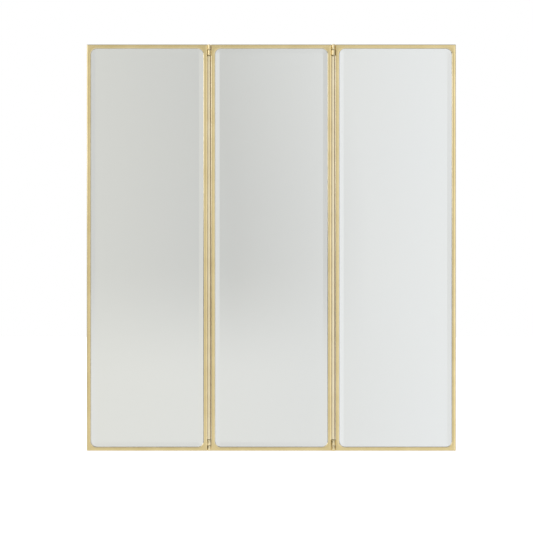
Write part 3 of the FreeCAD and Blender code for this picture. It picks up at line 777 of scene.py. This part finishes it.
def bent_tab():
    """Tab in (from the side, depth, along): an L line with a round bend, carried along, eased at its ends."""
    turn = np.radians(np.linspace(0, 90, 7))
    start, end = SHEET, BOARD_INSET + TAB_REACH
    low, high = BOARD_BACK - TAB_FOOT, BOARD_BACK + TAB

    def bend(inset, radius):
        inward, down = inset + radius * (1 - np.cos(turn)), inset + radius * (1 - np.sin(turn))
        return np.stack([start + inward, high - down], 1)

    foot_cut, end_cut, small = 0.3, 0.4, 0.1
    tip = [(end - end_cut, high), (end, high - end_cut),
           (end, high - TAB + small), (end - small, high - TAB)]
    foot = [(start + TAB, low + foot_cut), (start + TAB - foot_cut, low), (start + foot_cut, low)]
    line = np.concatenate([[(start, low + foot_cut)], bend(0, TAB_BEND), tip,
                           bend(TAB, TAB_BEND - TAB)[::-1], foot])
    half, eased = TAB_WIDTH / 2, 0.25
    widths = np.array([-half, -half + eased, half - eased, half])
    middle = line.mean(0)
    smaller = 0.985
    draw = np.array([smaller, 1, 1, smaller])[:, None, None]
    flat = middle + (line[None] - middle) * draw
    return np.concatenate([flat, np.broadcast_to(widths[:, None, None], (*flat.shape[:2], 1))], -1)


def tabs_of(leaf):
    """Eight tabs over the board: three up each side and one on each end."""
    loops = bent_tab()
    shells = []
    for side in (-1, 1):
        for share in TAB_SHARES:
            shells.append(tube(np.stack([side * (HALF_LEAF - loops[..., 0]), loops[..., 1],
                                         share * HEIGHT + loops[..., 2]], -1)))
    for top in (False, True):
        height = HEIGHT - loops[..., 0] if top else loops[..., 0]
        shells.append(tube(np.stack([loops[..., 2], loops[..., 1], height], -1)))
    piece(leaf + "_tabs", leaf, [leaf + "_board_tabs"], join(shells), zinc)


def pads_of(leaf):
    """Soft pads: a stadium outline that rises as a quarter of an ellipse to a flat crown."""
    low, high = (np.array(corner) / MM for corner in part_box(leaf + "_rear_pads"))
    thick = high[1] - low[1]
    turn = np.linspace(0, 2 * np.pi, 33)[:-1]
    straight_half = (PAD_LENGTH - PAD_WIDTH) / 2 * np.sign(np.round(np.sin(turn), 6))
    loops = []
    for t in np.radians(np.linspace(0, 90, 7)):
        radius = PAD_WIDTH / 2 * (PAD_CROWN + (1 - PAD_CROWN) * np.cos(t))
        loops.append(np.stack([radius * np.cos(turn), np.full(len(turn), thick * np.sin(t)),
                               radius * np.sin(turn) + straight_half], 1))
    loops = np.array(loops)
    x, along = HALF_LEAF - CORNER_WALL / 2, PAD_FROM_END + PAD_LENGTH / 2
    shells = [tube(loops + (side * x, DEPTH, height))
              for side in (-1, 1) for height in (along, HEIGHT - along)]
    piece(leaf + "_soft_pads", leaf, [leaf + "_rear_pads"], join(shells), rubber)


def hanger_fixings():
    """Hanger screws, one near each end of the two legs of each hanger."""
    start = CORNER_WALL + HANGER_CLEARANCE
    near, far = start + HANGER_NOSE / 2, start + HANGER_LEG - HANGER_NOSE / 2
    seat = BOARD_BACK + HANGER
    draw = np.random.default_rng(3)
    shells = []
    for side in (-1, 1):
        for from_side, from_top in ((far, near), (near, far)):
            at = (side * (HALF_LEAF - from_side), seat, HEIGHT - from_top)
            head = slotted_head(HANGER_SCREW, HANGER_SCREW_SHANK)
            shells.append(placed(head, at, (0, 1, 0), draw.uniform(0, np.pi)))
    piece("hanger_fixings", "centre", ["hanger_screws"], join(shells), zinc)


def dress(suffix, material):
    """Gives a material to the model's own nodes of one kind, which stay as they are."""
    for name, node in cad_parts.items():
        if name.endswith(suffix):
            node.data.materials.clear()
            node.data.materials.append(material)


# ---------------------------------------------------------------- the whole object
screws_low, corners_low = (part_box("left_" + node)[0][0] / MM for node in ("board_screws", "corner_blocks"))
screw_inset = screws_low + BOARD_SCREW[0] - corners_low
for leaf_name in LEAVES:
    frame_of(leaf_name)
    mirror_of(leaf_name)
    board_screws_of(leaf_name, screw_inset)
    hinge_screws_of(leaf_name)
    tabs_of(leaf_name)
    pads_of(leaf_name)
for leaf_name in STRIP_SIDE:
    strip_of(leaf_name)
    rivets_of(leaf_name)
for side_label in ("left", "right"):
    for place_label in ("top", "bottom"):
        knuckle(side_label, place_label, True)
        knuckle(side_label, place_label, False)
washers()
hanger_fixings()
dress("_glazing_tape", rubber)
dress("_foam_sheet", foam)
dress("_backing_board", board)
dress("_wall_hanger", zinc)
dress("_hinge_pin", hinge_brass)


# ---------------------------------------------------------------- studio
WALL_Y, WALL_LOW = -4.5, -1.5
CARD_X, CARD_FRONT, CARD_REAR, CARD_LOW, CARD_TOP = 3, -4, 3, -0.4, 4
FLOOR_HALF, FLOOR_Z = 30, -0.45
SIDES = (("left", -CARD_X, 0.12, 1.75, 0.8), ("right", CARD_X, 0.36, 0.36, 0.84))  # low, high and rear glow
LAMPS = (("key", (-1.6, -3.4, 3.4), 2.2, 26), ("fill", (2.4, -3.0, 2.6), 2.4, 18))  # place, size, power
AIM = (0, 0, 0.6)
VIEW_DISTANCE, VIEW_WIDTH, VIEW_X, VIEW_Z = 8.0, 1.5729, -0.0143, 0.5446


def glowing(name, strength=1.0):
    """A material that only gives light, and its emission node."""
    tree = Tree(name)
    tree.nodes.remove(tree.shader)
    lamp = tree.add("Emission")
    lamp.inputs["Color"].default_value = (1, 1, 1, 1)
    lamp.inputs["Strength"].default_value = strength
    tree.link(lamp.outputs[0], tree.nodes["Material Output"].inputs["Surface"])
    return tree, lamp


def card(name, corners, material, seen=False):
    """Flat studio card through four corners."""
    mesh = bpy.data.meshes.new(name)
    mesh.from_pydata(corners, [], [(0, 1, 2, 3)])
    mesh.materials.append(material)
    thing = bpy.data.objects.new(name, mesh)
    bpy.context.collection.objects.link(thing)
    thing.visible_camera = seen
    return thing


def upright_card(name, start, end, low, material):
    """Upright card between two points of the floor's plan, hidden from the camera."""
    card(name, [(*start, low), (*end, low), (*end, CARD_TOP), (*start, CARD_TOP)], material)


def studio_wall():
    """The far side of the studio, seen in the mirrors: pale, brighter on the right, with a soft dim patch.

    The patch's depth is four ramps multiplied. One rises slowly from the left, one falls to the right along a
    line that leans left as it rises, one fades out near the floor, and one nearly ends the patch far left.
    """
    tree, lamp = glowing("studio_wall")
    x, _, z = tree.parts(tree.where())
    base = tree.math("ADD", tree.spread(x, 0.2, 0.8, 0.79, 0.866), tree.spread(x, 0.9, 2.6, 0.0, 0.4))
    rising = tree.spread(x, -0.85, -0.2, 0.085, 0.152)
    leaning = tree.math("ADD", x, tree.spread(z, 0.8, 1.55, 0.0, 0.12))
    falling = tree.spread(leaning, -0.15, 0.46, 1.0, 0.0)
    low_fade = tree.spread(z, 0.0, 0.6, 0.0, 1.0, "SMOOTHSTEP")
    far_left = tree.spread(x, -1.5, -0.9, 0.2, 1.0)
    depth = tree.math("MULTIPLY", tree.math("MULTIPLY", rising, falling), low_fade)
    level = tree.math("SUBTRACT", base, tree.math("MULTIPLY", depth, far_left))
    tint = tree.blend(tree.spread(x, -0.8, 0.7), (1.0, 1.0, 0.955), (0.982, 0.996, 1.0))
    tree.link(level, lamp.inputs["Strength"])
    tree.link(tint, lamp.inputs["Color"])
    return tree.material


def side_glow(name, low, high):
    """A side of the studio: one level low down, another high up, both fading to pale towards the rims."""
    tree, lamp = glowing(name + "_side_glow")
    _, y, z = tree.parts(tree.where())
    pale = 0.85
    level = tree.spread(z, 0.70, 0.82, low - pale, high - pale, "SMOOTHSTEP")
    from_front = tree.spread(y, -3.7, -1.7, 0.0, 1.0, "SMOOTHSTEP")
    from_floor = tree.spread(z, CARD_LOW, 0.1, 0.0, 1.0, "SMOOTHSTEP")
    from_top = tree.spread(z, CARD_TOP, 2.4, 0.0, 1.0, "SMOOTHSTEP")
    share = tree.math("MULTIPLY", tree.math("MULTIPLY", from_front, from_floor), from_top)
    tree.link(tree.math("ADD", tree.math("MULTIPLY", level, share), pale), lamp.inputs["Strength"])
    return tree.material


def white_world():
    """White to the camera. Otherwise brighter from the left, and dimmer from above and from below."""
    world = bpy.data.worlds.new("white_studio")
    tree = Nodes(world)
    x, _, z = tree.parts(tree.add("TexCoord").outputs["Generated"])
    sideways = tree.spread(x, -1, 1, 0.95, 0.85)
    above, below = tree.spread(z, 0.4, 0.8, 0.0, -0.6), tree.spread(z, 0, -1, 0.0, -0.1)
    light = tree.math("ADD", tree.math("ADD", sideways, above), below)
    seen = tree.add("LightPath").outputs["Is Camera Ray"]
    background = tree.nodes["Background"]
    tree.link(tree.math("MAXIMUM", light, seen), background.inputs["Strength"])
    background.inputs["Color"].default_value = (1, 1, 1, 1)
    bpy.context.scene.world = world


def pale_floor():
    """Matt floor, kept out of reflections and of what is seen through the glass."""
    tree = Tree("pale_floor")
    tree.set(roughness=0.9)
    speckle = tree.noise(tree.where(), scale=60.0)
    tree.feed(base_color=tree.blend(speckle, (0.93, 0.93, 0.93), (0.95, 0.95, 0.95)))
    tree.set(emission_color=(1, 1, 1, 1), emission_strength=0.85)
    corners = [(x * FLOOR_HALF, y * FLOOR_HALF, FLOOR_Z) for x, y in ((-1, -1), (1, -1), (1, 1), (-1, 1))]
    ground = card("floor", corners, tree.material, seen=True)
    ground.visible_glossy = ground.visible_transmission = False


def lamps():
    """Two soft area lamps in front, high up on both sides, that the mirrors don't show."""
    for name, place, size, power in LAMPS:
        lamp = bpy.data.lights.new(name, "AREA")
        lamp.size, lamp.energy = size, power
        thing = bpy.data.objects.new(name, lamp)
        bpy.context.collection.objects.link(thing)
        thing.visible_glossy = False
        thing.location = place
        thing.rotation_euler = (Vector(AIM) - thing.location).to_track_quat("-Z", "Y").to_euler()


def camera():
    """Camera that looks straight back at the faces, a little left of the middle and below it."""
    eye = bpy.data.cameras.new("camera")
    eye.sensor_width = 36.0
    eye.lens = eye.sensor_width * VIEW_DISTANCE / VIEW_WIDTH
    eye.clip_end = 100.0
    thing = bpy.data.objects.new("camera", eye)
    bpy.context.collection.objects.link(thing)
    thing.location = (VIEW_X, FACE_Y * MM - VIEW_DISTANCE, VIEW_Z)
    thing.rotation_euler = (np.pi / 2, 0, 0)
    bpy.context.scene.camera = thing


def studio():
    """White world, cards that the mirrors show, pale floor, lamps and camera."""
    white_world()
    bpy.context.scene.view_settings.view_transform = "Standard"
    upright_card("studio_far_wall", (-CARD_X, WALL_Y), (CARD_X, WALL_Y), WALL_LOW, studio_wall())
    for name, x, low, high, rear in SIDES:
        upright_card(name + "_side_card", (x, CARD_FRONT), (x, 0), CARD_LOW, side_glow(name, low, high))
        behind, _ = glowing(name + "_rear_glow", rear)
        upright_card(name + "_rear_card", (x, 0), (x, CARD_REAR), CARD_LOW, behind.material)
    pale_floor()
    lamps()
    camera()


studio()
